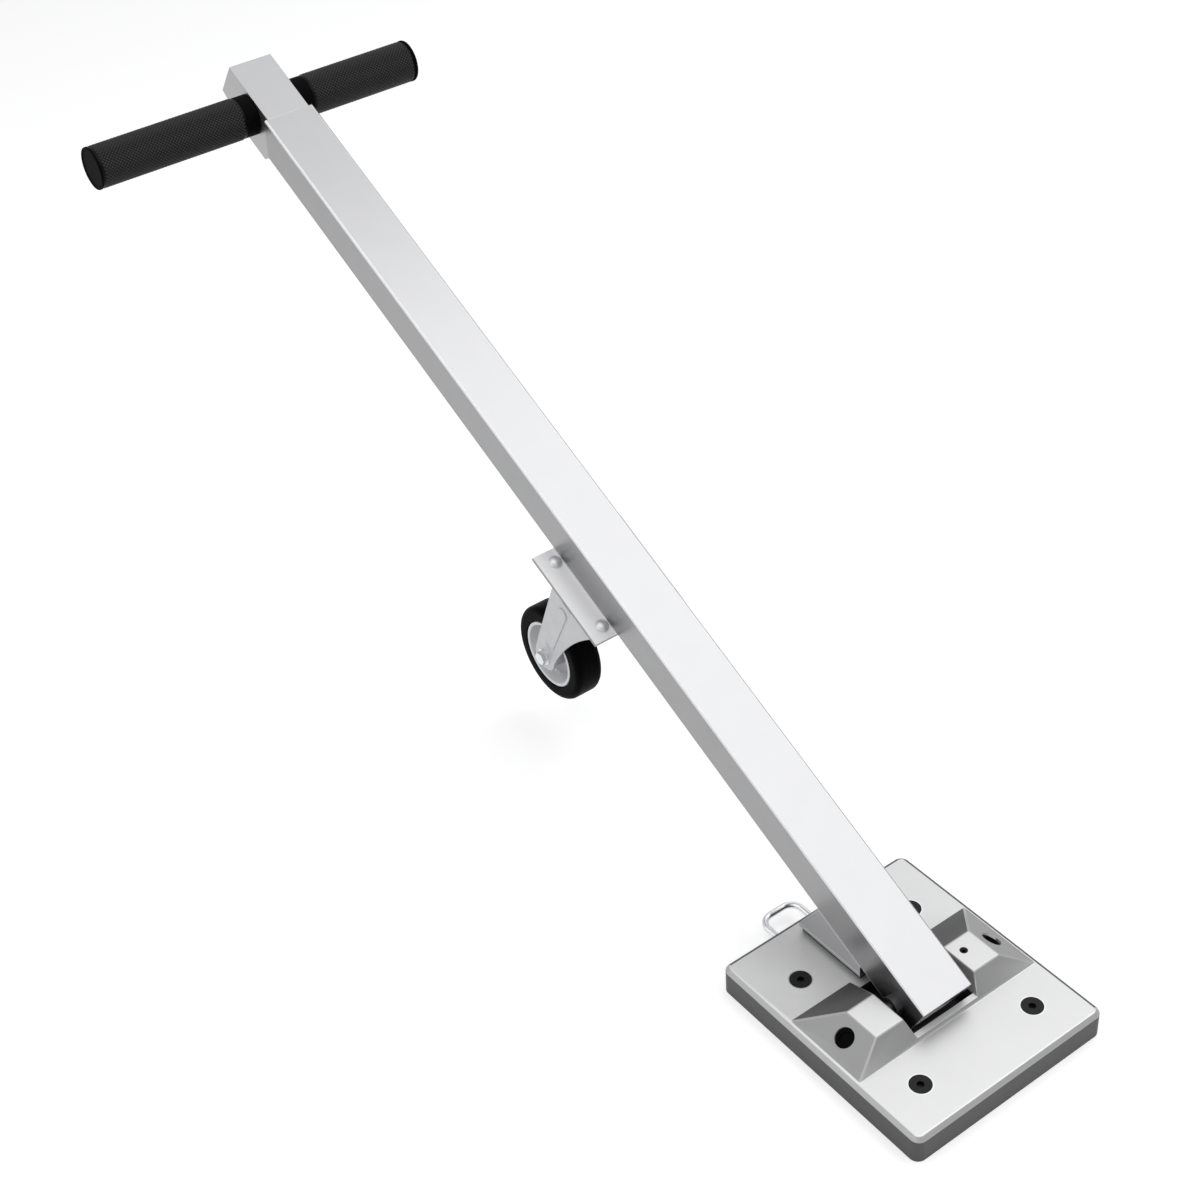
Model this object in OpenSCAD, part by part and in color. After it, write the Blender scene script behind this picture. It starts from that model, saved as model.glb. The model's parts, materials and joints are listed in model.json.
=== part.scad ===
// Magnetic manhole cover lifter: a magnet base with a hinged lever, a cross handle and a swivel caster.
// Frame: +Z up, the magnet face lies on z = 0, X runs along the hinge pin and the lever leans towards +Y.

/* [Base] */
// Width of the base plate across the hinge
base_w = 174; // [168:1:200]
// Length of the base plate
base_l = 198; // [190:1:220]
// Thickness of the base plate
base_t = 22.4; // [21.5:0.1:26]
// Corner radius of the base plate
base_r = 7; // [4:0.5:12]
// Chamfer round the top of the base plate
base_chamfer = 3; // [1:0.5:5]
// Distance of the screws from the middle, across the base
screw_x = 52.5; // [40:0.5:58]
// Head diameter of the countersunk screws
screw_head_d = 16; // [12:0.5:18]
// Shank diameter of the countersunk screws
screw_d = 8; // [5:0.5:10]

/* [Hinge blocks] */
// Height of the hinge blocks above the plate
block_h = 16.5; // [14:0.5:20]
// Half width of the slot at the blocks' tops
slot_half = 32.9; // [30:0.1:36]
// Half width of the slot at the toe ledge
slot_foot = 28.3; // [26:0.1:30]
// Outer edge of the blocks' flat tops
block_top_x = 57.4; // [55:0.1:62]
// Foot of the outer slopes
block_foot_x = 82.5; // [78:0.5:83]
// Foot of the front slope, in front of the middle
block_front_foot = 39; // [38.5:0.1:40]
// Front edge of the flat tops
block_front_top = 27.7; // [24:0.1:30]
// Rear edge of the flat tops, behind the middle
block_rear_top = 1.2; // [0:0.1:6]
// Foot of the rear slope
block_rear_foot = 30; // [24:0.5:36]
// Height of the toe ledge above the plate
ledge_rise = 2.3; // [0.5:0.1:2.5]
// Rear edge of the toe ledge, in front of the middle
ledge_back = 32.6; // [32.5:0.1:34.5]
// Floor of the toe pocket above the magnet face
pocket_floor = 6; // [3:0.5:7]
// Rear end of the toe pocket
pocket_rear = 22; // [8:0.5:23]

/* [Hinge] */
// Hinge axis, in front of the middle
pivot_front = 9.5; // [8.5:0.1:10.5]
// Hinge axis above the magnet face
pivot_z = 31; // [30:0.1:31.5]
// Diameter of the hinge pin
pin_d = 8; // [6:0.5:11]
// Length of the hinge pin
pin_len = 118; // [100:1:119]
// Diameter of the pin caps
cap_d = 14.8; // [12:0.2:16]
// Diameter of the set screw
set_d = 6; // [4:0.5:8]
// Place of the set screw across the base
set_x = 41.7; // [38:0.1:50]

/* [Magnets] */
// Half width of a magnet bank
bank_half_w = 72; // [66:1:76]
// Wall between the front bank and the front end of the base
front_wall = 8.7; // [6:0.1:14]
// Wall between the front bank and the toe pocket
toe_wall = 7.7; // [4:0.1:10]
// Wall between the rear bank and the toe pocket
heel_wall = 6; // [4:0.5:12]
// Wall between the rear bank and the loop's sockets
socket_wall = 6; // [3:0.5:12]
// Thickness of the steel yokes
yoke_t = 5.5; // [4:0.5:6]
// Thickness of the magnets
magnet_t = 7.4; // [5:0.1:8]
// Thickness of the cover sheets
cover_t = 1.5; // [1:0.1:2]
// Magnets in a bank
magnet_count = 4; // [2:1:6]
// Space between magnets
magnet_gap = 4; // [2:0.5:8]

/* [Tether loop] */
// Rod diameter of the loop
loop_rod_d = 5; // [4:0.5:6]
// Distance between the loop's legs, centre to centre
loop_span = 32; // [28:1:40]
// Reach of the loop behind the base, to the rod's middle
loop_reach = 23; // [18:0.5:30]
// Bend radius at the rod's middle
loop_bend = 10; // [8:0.5:13]
// Place of the loop left of the middle
loop_left = 16; // [0:1:30]
// Height of the loop
loop_z = 11.5; // [8:0.5:13]
// Depth of the legs in the base
loop_socket = 13; // [6:0.5:15]

/* [Lever] */
// Angle of the lever above the magnet face at rest
lever_tilt = 26.8; // [26:0.1:28]
// Width of the lever tube
tube_w = 45; // [40:0.5:50]
// Depth of the lever tube
tube_d = 33; // [31.5:0.5:36]
// Wall of the lever tube
tube_wall = 3; // [2:0.25:3]
// Outer corner radius of the lever tube
tube_r = 1.6; // [0.5:0.1:2.5]
// Length of the lever tube along its front
tube_len = 863; // [800:1:950]
// Distance of the hinge axis from the toe
pivot_along = 19.4; // [17:0.1:19.6]
// Depth of the hinge axis behind the front face
pivot_depth = 22.1; // [21.5:0.1:22.5]
// Outer diameter of the pivot sleeve
sleeve_d = 15; // [14.5:0.1:15.4]
// Wall of the bushes
bush_wall = 1.2; // [0.8:0.1:1.4]
// Length of a bush
bush_len = 20; // [10:1:30]

/* [Heel] */
// Front end of the heel, behind the middle
heel_front = 26; // [24:0.5:34]
// Distance of the heel's rear end from the rear end of the base
heel_inset = 9; // [5:0.5:19]
// Forward lean of the cheeks' rear edge
heel_lean = 20; // [5:0.5:26]
// Thickness of the heel sole
sole_t = 3; // [2:0.25:4]
// Thickness of the heel pad
pad_t = 4; // [3:0.25:5]
// Thickness of the heel cheeks
cheek_t = 3; // [2:0.25:4]

/* [Head and handle] */
// Length of the head beyond the tube, along the front
head_len = 61.5; // [56:0.5:70]
// Extra length of the head at its rear
head_rake = 6.5; // [0:0.5:8]
// Depth of the head behind the handle
head_d = 44.5; // [42:0.5:48]
// Length of the head's tongue in the tube
tongue_len = 60; // [40:1:90]
// Step of the tube's raked end
end_rake = 11; // [4:0.5:14]
// Distance of the handle from the tube's front end
bar_along = 24; // [22:0.5:28]
// Depth of the handle behind the front face
bar_depth = 18; // [17.5:0.1:20]
// Diameter of the crossbar
bar_d = 20; // [16:0.5:24]
// Left arm of the handle from the middle
bar_left = 161.7; // [130:0.5:190]
// Right arm of the handle from the middle
bar_right = 131.8; // [110:0.5:170]
// Diameter of the grips
grip_d = 34.6; // [30:0.2:35]
// Length of a grip collar
collar_len = 12; // [8:0.5:16]
// Diameter of a grip collar
collar_d = 33.4; // [28:0.2:34]
// Thickness of an end plug's cap
plug_cap = 2; // [1:0.25:4]
// Length of an end plug in the crossbar
plug_len = 16; // [10:1:25]
// Wall of the crossbar
bar_wall = 2.5; // [2:0.25:4]

/* [Caster] */
// Distance of the caster from the toe
caster_along = 394; // [330:1:450]
// Width of the mounting plate
mount_w = 83; // [80:0.5:95]
// Length of the mounting plate
mount_l = 84; // [78:0.5:95]
// Thickness of the mounting plate
mount_t = 3; // [2:0.25:4]
// Gap between the tube's sides and the bolt heads
bolt_gap = 0.45; // [0.3:0.05:4]
// Half distance of the bolts along the lever
bolt_y = 30.9; // [29:0.1:34]
// Diameter of the caster bolts
bolt_d = 6; // [5:0.5:6.5]
// Head diameter of the caster bolts
bolt_head_d = 10.5; // [9:0.5:11]
// Height of the folded bracket between the plates
bracket_h = 27; // [20:0.5:40]
// Length of the folded bracket
bracket_l = 80; // [76:0.5:84]
// Half length of the bracket's web, from the swivel axis
bracket_foot = 26; // [22:0.5:30]
// Sheet thickness of the folded bracket
bracket_t = 3; // [2:0.25:3.5]
// Place of the swivel axis on the bracket, towards the handle
swivel_shift = 7; // [0:0.5:8]
// Thickness of the caster's own plate
plate_t = 2.5; // [2:0.25:4]
// Diameter of the swivel race
race_d = 30; // [28:0.5:36]
// Circle of the swivel balls
ball_circle = 20; // [19:0.5:20.5]
// Diameter of the swivel balls
ball_d = 4.5; // [4:0.1:4.6]
// Count of the swivel balls
ball_count = 12; // [6:1:12]
// Diameter of the kingpin
king_d = 12; // [10:0.5:14]
// Length of the fork's crown
crown_l = 56; // [50:0.5:62]
// Thickness of the fork's crown
crown_t = 5; // [4:0.5:6]
// Thickness of the fork's legs
leg_t = 2.5; // [2:0.25:3.5]
// Axle below the caster's own plate
axle_drop = 104; // [96:0.5:120]
// Trail of the axle towards the handle
trail = 8.7; // [0:0.1:14]
// Radius of the legs round the axle
leg_r = 12.5; // [9:0.5:14]
// Radius of the legs' hollow front edge
leg_hollow_r = 170; // [80:1:260]

/* [Wheel] */
// Diameter of the wheel
wheel_d = 82; // [74:0.5:90]
// Width of the tyre
tyre_w = 25; // [20:0.5:25.5]
// Diameter of the rim
rim_d = 57; // [50:0.5:62]
// Width of the rim
rim_w = 20; // [14:0.5:22]
// Width of the wheel hub
hub_w = 24; // [23.5:0.5:30]
// Diameter of the wheel hub
hub_d = 22; // [18:0.5:26]
// Diameter of the axle sleeve
axle_sleeve_d = 10; // [8:0.5:12]
// Diameter of the axle bolt
axle_d = 6; // [5:0.5:7]
// Width across flats of the axle bolt and nut
axle_hex = 10; // [8:0.5:13]

/* [Hidden] */
$fn = 64;

// Overrun of every cut past the face it opens
over = 1;
// Radial clearance of a running fit
run_fit = 0.05;
// Clearance of a piece seated in a pocket or bore
seat_fit = 0.1;
// Gap between moving faces
move_gap = 0.3;
// Across-flats width of a hexagon to its circle
hex_ratio_share = 1 / cos(30);

// Base
block_top_z = base_t + block_h;
ledge_z = base_t + ledge_rise;
pivot_y = -pivot_front;
bank_h = yoke_t + magnet_t + cover_t;
front_bank_ends = [base_l / 2 - front_wall, ledge_back + toe_wall];
rear_bank_ends = [pocket_rear + heel_wall, base_l / 2 - loop_socket - socket_wall];
front_screw_y = (front_bank_ends[0] + front_bank_ends[1]) / 2;
rear_screw_y = (rear_bank_ends[0] + rear_bank_ends[1]) / 2;
front_bank_half = (front_bank_ends[0] - front_bank_ends[1]) / 2;
rear_bank_half = (rear_bank_ends[1] - rear_bank_ends[0]) / 2;
screw_head_h = (screw_head_d - screw_d) / 2;
screw_socket_af = 5;
screw_socket_h = 3;
slope_run = block_foot_x - block_top_x;
slope_angle = atan2(block_h, slope_run);
cap_x = block_top_x + (block_top_z - pivot_z) / tan(slope_angle);
cap_t = 3;
cap_sunk = 1.5;
cap_dish_d = 9;
cap_dish_h = 1;
set_sunk = 1;
set_bite_share = 0.2;
set_bottom = pivot_z + set_bite_share * pin_d;
set_socket_af = 3;
set_socket_h = 2.5;

// Lever
bush_d = pin_d + 2 * run_fit + 2 * bush_wall;
sleeve_len = 2 * (slot_foot - move_gap);
tube_end_slope = end_rake / tube_d;
heel_rear = base_l / 2 - heel_inset;
pad_inset = 2;
sole_bottom = base_t + move_gap + pad_t;
sole_top = sole_bottom + sole_t;
tongue_fit = 0.2;
head_w = tube_w - 2 * (tube_wall + tongue_fit);
head_inset = 0.7;
head_heel = 3;
bar_s = tube_len + bar_along;
grip_start = head_w / 2 + collar_len + 2 * seat_fit;

// Caster, with depths measured from the tube's front face
mount_d = tube_d;
bolt_x = tube_w / 2 + bolt_gap + bolt_head_d / 2;
bolt_nut_af = 10;
bolt_nut_h = 5;
bolt_tail = 1.5;
bolt_head_h = 3.2;
dome_r = bolt_head_d / 2 + bolt_head_h / 2;
nut_room = 0.6;
flange_d = mount_d + mount_t;
flange_inset = 3.5;
flange_half = mount_w / 2 - flange_inset;
bracket_half = bolt_x - bolt_nut_af * hex_ratio_share / 2 - nut_room;
bracket_bend = 5;
plate_d = flange_d + bracket_h;
plate_edge = 4;
plate_half = race_d / 2 + plate_edge;
plate_l = 50;
race_top_d = plate_d + plate_t;
race_h = 5;
race_bore_d = 13;
ball_drop = 0.8;
ball_depth = race_top_d + race_h + ball_drop;
crown_top_d = ball_depth + ball_drop;
crown_bottom_d = crown_top_d + crown_t;
groove_r = ball_d / 2 + seat_fit;
king_head_d = 20;
king_head_h = 4;
king_nut_af = 18;
king_nut_h = 8;
axle_depth = plate_d + axle_drop;
hub_play = 1.2;
leg_in = hub_w / 2 + hub_play;
leg_out = leg_in + leg_t;
leg_low = axle_depth + leg_r + over;
crown_round = 3;
crown_inner_r = 1;
crown_side_h = 8;
leg_sunk = 1;
leg_slot_l = 14;
leg_slot_h = 4.5;
leg_slot_rear = 7;
leg_slot_drop = 12.5;
rib_w = 11;
rib_h = 0.8;
rib_start_share = 0.28;
rib_end_share = 0.78;
axle_head_h = 4;
axle_flange_d = 14;
axle_flange_t = 1.2;
axle_nut_h = 5;
axle_tail = 2;
rim_band = 2.5;
web_t = 4;
tread_h = (wheel_d - rim_d) / 2;
tyre_round_share = 0.4;
tyre_round = tyre_round_share * tread_h;
wheel_bush_wall = 2;
bush_outer_d = axle_sleeve_d + 2 * run_fit + 2 * wheel_bush_wall;

// Underside of the tube above the magnet face, at a distance behind the middle
function under_z(y) =
    pivot_z + (y - pivot_y) * tan(lever_tilt) - (tube_d - pivot_depth) / cos(lever_tilt);
// Centre of a circle of radius r that passes through p and touches the circle of radius cr round c
function hollow_centre(p, r, c, cr) =
    let (v = c - p, d = norm(v), a = (r * r - pow(r + cr, 2) + d * d) / (2 * d), h = sqrt(r * r - a * a))
    p + (a * v + h * [v[1], -v[0]]) / d;
// Point where a line from p touches the circle of radius r round c, on its right
function touch(p, c, r) =
    let (v = p - c, a = atan2(v[1], v[0]) - acos(r / norm(v)))
    c + r * [cos(a), sin(a)];

// Places children drawn in the lever's own axes: x across, y along the tube, z in front of its face
module on_lever() {
    translate([0, pivot_y, pivot_z])
        rotate([lever_tilt, 0, 0])
            translate([0, -pivot_along, pivot_depth])
                children();
}
// Places children at the middle of the caster's mounting plate, z in front of the tube's face
module on_mount() {
    on_lever() translate([0, caster_along, 0]) children();
}
// Places children on the caster's swivel axis
module on_swivel() {
    on_mount() translate([0, swivel_shift, 0]) children();
}
// Places children on the wheel's axle
module on_axle() {
    on_swivel() translate([0, trail, -axle_depth]) children();
}
// A cylinder between two depths behind the tube's face
module deep_rod(d, from, to) {
    translate([0, 0, -to]) cylinder(d = d, h = to - from);
}
// A ring or rod along X round the origin
module cross_rod(d, len) {
    rotate([0, 90, 0]) cylinder(d = d, h = len, center = true);
}
// A hexagonal prism given across its flats
module hex_prism(af, h) {
    cylinder(d = af * hex_ratio_share, h = h, $fn = 6);
}
// Extrudes a side view, drawn as y and z, across X
module across(w) {
    rotate([90, 0, 90]) linear_extrude(height = w, center = true) children();
}
// Extrudes a front view, drawn as x and z, along Y
module lengthwise(l) {
    rotate([90, 0, 0]) linear_extrude(height = l, center = true) children();
}
// Extrudes a section, drawn as x and depth, along the lever
module along_lever(from, to) {
    translate([0, from, 0]) rotate([-90, 0, 0]) linear_extrude(height = to - from) children();
}
// A rectangle with round corners, as a plain union
module round_rect(w, l, r) {
    square([w - 2 * r, l], center = true);
    square([w, l - 2 * r], center = true);
    for (x = [-1, 1], y = [-1, 1])
        translate([x * (w / 2 - r), y * (l / 2 - r)]) circle(r = r);
}
// The four places of the countersunk screws
module at_screws() {
    for (x = [-screw_x, screw_x], y = [-front_screw_y, rear_screw_y])
        translate([x, y, 0]) children();
}
module mirrored_x() {
    children();
    mirror([1, 0, 0]) children();
}

// Side profile of the plate from its middle to one half size
function plate_profile(half) = [
    [-half, 0], [half, 0], [half, base_t - base_chamfer], [half - base_chamfer, base_t],
    [base_chamfer - half, base_t], [-half, base_t - base_chamfer]
];
module plate_block() {
    across(base_w - 2 * base_r) polygon(plate_profile(base_l / 2));
    lengthwise(base_l - 2 * base_r) polygon(plate_profile(base_w / 2));
    for (x = [-1, 1], y = [-1, 1])
        translate([x * (base_w / 2 - base_r), y * (base_l / 2 - base_r), 0])
            rotate_extrude()
                polygon([
                    [0, 0], [base_r, 0], [base_r, base_t - base_chamfer],
                    [base_r - base_chamfer, base_t], [0, base_t]
                ]);
}
module hinge_blocks() {
    intersection() {
        across(2 * block_foot_x)
            polygon([
                [-block_front_foot, pocket_floor], [-block_front_foot, base_t],
                [-block_front_top, block_top_z], [block_rear_top, block_top_z],
                [block_rear_foot, base_t], [block_rear_foot, pocket_floor]
            ]);
        lengthwise(2 * base_l)
            polygon([
                [-block_foot_x, pocket_floor], [-block_foot_x, base_t], [-block_top_x, block_top_z],
                [block_top_x, block_top_z], [block_foot_x, base_t], [block_foot_x, pocket_floor]
            ]);
    }
}
// A length of the slot above a floor, with sides that lean out above the ledge
module slot_length(from, to, floor_z) {
    translate([0, (from + to) / 2, 0]) lengthwise(to - from) polygon(concat(
        floor_z < ledge_z ? [[-slot_foot, floor_z], [slot_foot, floor_z]] : [],
        [[slot_foot, ledge_z], [slot_half, block_top_z], [slot_half, 2 * block_top_z],
         [-slot_half, 2 * block_top_z], [-slot_half, block_top_z], [-slot_foot, ledge_z]]
    ));
}
// Toe pocket, the slot above it and the ledge in front
module slot_cut() {
    slot_length(-ledge_back, pocket_rear, pocket_floor);
    slot_length(-ledge_back, block_rear_foot + over, base_t);
    slot_length(-block_front_foot - over, 0, ledge_z);
}
// Places children square to the right block's outer slope, on the hinge axis
module on_slope() {
    translate([cap_x, pivot_y, pivot_z]) rotate([0, slope_angle, 0]) children();
}
module bank_pocket(y, half) {
    translate([-bank_half_w, y - half, -over])
        cube([2 * bank_half_w, 2 * half, bank_h + over]);
}
module screw_shape(head, shank, head_h, bottom) {
    translate([0, 0, base_t - head_h]) cylinder(d1 = shank, d2 = head, h = head_h);
    translate([0, 0, bottom]) cylinder(d = shank, h = base_t - head_h - bottom);
}
// One flat layer of a magnet bank
module bank_layer(y, half, from, thick) {
    translate([seat_fit - bank_half_w, y - half + seat_fit, from])
        cube([2 * (bank_half_w - seat_fit), 2 * (half - seat_fit), thick]);
}
module yoke(y, half) {
    difference() {
        bank_layer(y, half, cover_t + magnet_t, yoke_t);
        at_screws() cylinder(d = screw_d + 2 * seat_fit, h = base_t);
    }
}
module magnets(y, half) {
    pitch = (2 * (bank_half_w - seat_fit) + magnet_gap) / magnet_count;
    for (i = [0 : magnet_count - 1])
        translate([seat_fit - bank_half_w + i * pitch, y - half + seat_fit, cover_t])
            cube([pitch - magnet_gap, 2 * (half - seat_fit), magnet_t]);
}

module base_plate() color("gainsboro") difference() {
    union() {
        plate_block();
        hinge_blocks();
    }
    slot_cut();
    bank_pocket(-front_screw_y, front_bank_half);
    bank_pocket(rear_screw_y, rear_bank_half);
    at_screws() {
        screw_shape(screw_head_d + 2 * seat_fit, screw_d + 2 * seat_fit, screw_head_h, cover_t);
    }
    translate([0, pivot_y, pivot_z]) cross_rod(pin_d + 2 * run_fit, 2 * base_w);
    mirrored_x() on_slope() translate([0, 0, -cap_t - cap_sunk])
        cylinder(d = cap_d + 2 * seat_fit, h = block_h);
    translate([set_x, pivot_y, pivot_z]) cylinder(d = set_d, h = block_h);
    for (x = [-1, 1])
        translate([x * loop_span / 2 - loop_left, base_l / 2 - loop_socket, loop_z])
            rotate([-90, 0, 0]) cylinder(d = loop_rod_d + 2 * seat_fit, h = loop_socket + over);
}
module front_yoke() color("dimgray") yoke(-front_screw_y, front_bank_half);
module rear_yoke() color("dimgray") yoke(rear_screw_y, rear_bank_half);
module front_magnets() color("silver") magnets(-front_screw_y, front_bank_half);
module rear_magnets() color("silver") magnets(rear_screw_y, rear_bank_half);
module front_cover_sheet() color("lightgray") bank_layer(-front_screw_y, front_bank_half, 0, cover_t);
module rear_cover_sheet() color("lightgray") bank_layer(rear_screw_y, rear_bank_half, 0, cover_t);
module magnet_screws() color("black") at_screws() difference() {
    screw_shape(screw_head_d, screw_d, screw_head_h, cover_t + magnet_t + seat_fit);
    translate([0, 0, base_t - screw_socket_h]) hex_prism(screw_socket_af, screw_socket_h + over);
}
module pivot_pin() color("silver") difference() {
    translate([0, pivot_y, pivot_z]) cross_rod(pin_d, pin_len);
    translate([set_x, pivot_y, set_bottom - seat_fit]) cylinder(d = set_d + 2 * seat_fit, h = pin_d);
}
module pin_set_screw() color("black") translate([set_x, pivot_y, 0]) difference() {
    translate([0, 0, set_bottom])
        cylinder(d = set_d - 2 * seat_fit, h = block_top_z - set_sunk - set_bottom);
    translate([0, 0, block_top_z - set_sunk - set_socket_h]) hex_prism(set_socket_af, set_socket_h + over);
}
module pin_caps() color("black") mirrored_x() on_slope() difference() {
    translate([0, 0, -cap_t - cap_sunk]) cylinder(d = cap_d, h = cap_t);
    translate([0, 0, -cap_sunk - cap_dish_h]) cylinder(d = cap_dish_d, h = cap_dish_h + over);
}
module tether_loop() color("silver") translate([-loop_left, base_l / 2, loop_z]) {
    leg_len = loop_socket + loop_reach - loop_bend;
    mirrored_x() {
        translate([loop_span / 2, seat_fit - loop_socket, 0])
            rotate([-90, 0, 0]) cylinder(d = loop_rod_d, h = leg_len - seat_fit);
        translate([loop_span / 2 - loop_bend, loop_reach - loop_bend, 0])
            rotate_extrude(angle = 90) translate([loop_bend, 0]) circle(d = loop_rod_d);
    }
    translate([0, loop_reach, 0]) cross_rod(loop_rod_d, loop_span - 2 * loop_bend);
}

module lever_tube() color("whitesmoke") on_lever() difference() {
    along_lever(0, tube_len) translate([0, tube_d / 2]) difference() {
        round_rect(tube_w, tube_d, tube_r);
        square([tube_w - 2 * tube_wall, tube_d - 2 * tube_wall], center = true);
    }
    across(tube_w + 2 * over)
        polygon([
            [tube_len + over * tube_end_slope, over], [tube_len + over, over],
            [tube_len + over, -tube_d - over], [tube_len - (tube_d + over) * tube_end_slope, -tube_d - over]
        ]);
    translate([0, pivot_along, -pivot_depth]) cross_rod(sleeve_d + 2 * seat_fit, tube_w + 2 * over);
}
module pivot_sleeve() color("silver") translate([0, pivot_y, pivot_z]) difference() {
    cross_rod(sleeve_d, sleeve_len);
    cross_rod(bush_d, sleeve_len + 2 * over);
}
module pivot_bushes() color("darkgoldenrod") translate([0, pivot_y, pivot_z])
    for (x = [-1, 1]) translate([x * (sleeve_len - bush_len) / 2, 0, 0]) difference() {
        cross_rod(bush_d, bush_len);
        cross_rod(pin_d + 2 * run_fit, bush_len + 2 * over);
    }
module heel_cheeks() color("whitesmoke") for (x = [-1, 1])
    translate([x * (tube_w - cheek_t) / 2, 0, 0]) across(cheek_t) polygon([
        [heel_front, sole_top], [heel_rear, sole_top],
        [heel_rear - heel_lean, under_z(heel_rear - heel_lean)], [heel_front, under_z(heel_front)]
    ]);
module heel_sole() color("whitesmoke") translate([-tube_w / 2, heel_front, sole_bottom])
    cube([tube_w, heel_rear - heel_front, sole_t]);
module heel_pad() color("black") translate([pad_inset - tube_w / 2, heel_front + pad_inset, sole_bottom - pad_t])
    cube([tube_w - 2 * pad_inset, heel_rear - heel_front - 2 * pad_inset, pad_t]);
module lever_head() color("whitesmoke") on_lever() difference() {
    union() {
        across(head_w) polygon([
            [tube_len, -head_inset], [tube_len + head_len, -head_inset],
            [tube_len + head_len + head_rake, -tube_d], [bar_s, -head_d],
            [tube_len - head_heel, -head_d], [tube_len - end_rake, -tube_d]
        ]);
        along_lever(tube_len - end_rake - tongue_len, tube_len)
            translate([0, tube_d / 2])
                square([head_w, tube_d - 2 * (tube_wall + tongue_fit)], center = true);
    }
    translate([0, bar_s, -bar_depth]) cross_rod(bar_d + 2 * seat_fit, tube_w);
}
// Places children on the handle's axis
module on_bar() {
    on_lever() translate([0, bar_s, -bar_depth]) children();
}
// A sleeve along the handle between two distances from the middle, on the side that has this sign
module bar_sleeve(side, from, to, outer, inner) {
    on_bar() translate([side * (from + to) / 2, 0, 0]) difference() {
        cross_rod(outer, to - from);
        cross_rod(inner, to - from + 2 * over);
    }
}
module end_plug(side, reach) {
    on_bar() translate([side * (reach - plug_cap / 2), 0, 0]) cross_rod(grip_d, plug_cap);
    on_bar() translate([side * (reach - plug_cap - plug_len / 2), 0, 0])
        cross_rod(bar_d - 2 * bar_wall - 2 * seat_fit, plug_len);
}
module crossbar() color("dimgray") on_bar()
    translate([(bar_right - bar_left) / 2, 0, 0]) difference() {
        cross_rod(bar_d, bar_left + bar_right - 2 * plug_cap);
        cross_rod(bar_d - 2 * bar_wall, bar_left + bar_right);
    }
module left_grip() color("black")
    bar_sleeve(-1, grip_start, bar_left - plug_cap, grip_d, bar_d + 2 * seat_fit);
module right_grip() color("black")
    bar_sleeve(1, grip_start, bar_right - plug_cap, grip_d, bar_d + 2 * seat_fit);
module grip_collars() color("black") for (side = [-1, 1])
    bar_sleeve(side, grip_start - collar_len - seat_fit, grip_start - seat_fit,
               collar_d, bar_d + 2 * seat_fit);
module grip_end_plugs() color("black") {
    end_plug(-1, bar_left);
    end_plug(1, bar_right);
}

// The four bolt places of the caster
module at_bolts() {
    for (x = [-bolt_x, bolt_x], y = [-bolt_y, bolt_y]) translate([x, y, 0]) children();
}
module bolt_holes() {
    at_bolts() deep_rod(bolt_d + 2 * seat_fit, mount_d - over, flange_d + bracket_t + over);
}
module caster_mount_plate() color("lightgray") on_mount() difference() {
    translate([-mount_w / 2, -mount_l / 2, -flange_d]) cube([mount_w, mount_l, mount_t]);
    bolt_holes();
}
// A trough with round corners at its closed end, drawn as x and depth
module trough(half, mouth, end, r) {
    way = sign(end - mouth);
    translate([-half, min(mouth, end - way * r)]) square([2 * half, abs(end - way * r - mouth)]);
    translate([r - half, min(mouth, end)]) square([2 * (half - r), abs(end - mouth)]);
    for (x = [-1, 1]) translate([x * (half - r), end - way * r]) circle(r = r);
}
// Section of the folded bracket
module bracket_section() {
    difference() {
        trough(bracket_half, flange_d, plate_d, bracket_bend);
        trough(bracket_half - bracket_t, flange_d - over, plate_d - bracket_t, bracket_bend - bracket_t);
    }
    for (x = [-1, 1])
        translate([x * (flange_half + bracket_half - bracket_t) / 2, flange_d + bracket_t / 2])
            square([flange_half - bracket_half + bracket_t, bracket_t], center = true);
}
// Side view of the folded bracket, with walls that taper to the web
module bracket_side() {
    half = bracket_l / 2;
    polygon([
        [-half, over - flange_d], [half, over - flange_d], [half, -flange_d - bracket_t],
        [swivel_shift + bracket_foot, -plate_d - over], [swivel_shift - bracket_foot, -plate_d - over],
        [-half, -flange_d - bracket_t]
    ]);
}
module caster_bracket() color("lightsteelblue") difference() {
    on_mount() intersection() {
        along_lever(-bracket_l, bracket_l) bracket_section();
        across(mount_w) bracket_side();
    }
    on_mount() bolt_holes();
    on_swivel() deep_rod(king_d + 2 * seat_fit, plate_d - bracket_t - over, plate_d + over);
}
module caster_top_plate() color("lightsteelblue") on_swivel() difference() {
    translate([-plate_half, -plate_l / 2, -race_top_d]) cube([2 * plate_half, plate_l, plate_t]);
    deep_rod(king_d + 2 * seat_fit, plate_d - over, race_top_d + over);
}
module caster_bolts() color("silver") on_mount() at_bolts() {
    deep_rod(bolt_d, mount_d, flange_d + bracket_t + bolt_nut_h + bolt_tail);
    translate([0, 0, -mount_d]) rotate_extrude() intersection() {
        square([bolt_head_d / 2, bolt_head_h]);
        translate([0, bolt_head_h - dome_r]) circle(r = dome_r);
    }
}
module caster_nuts() color("silver") on_mount() at_bolts() difference() {
    translate([0, 0, -flange_d - bracket_t - bolt_nut_h]) hex_prism(bolt_nut_af, bolt_nut_h);
    deep_rod(bolt_d + 2 * seat_fit, flange_d, flange_d + bracket_t + bolt_nut_h + over);
}
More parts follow.
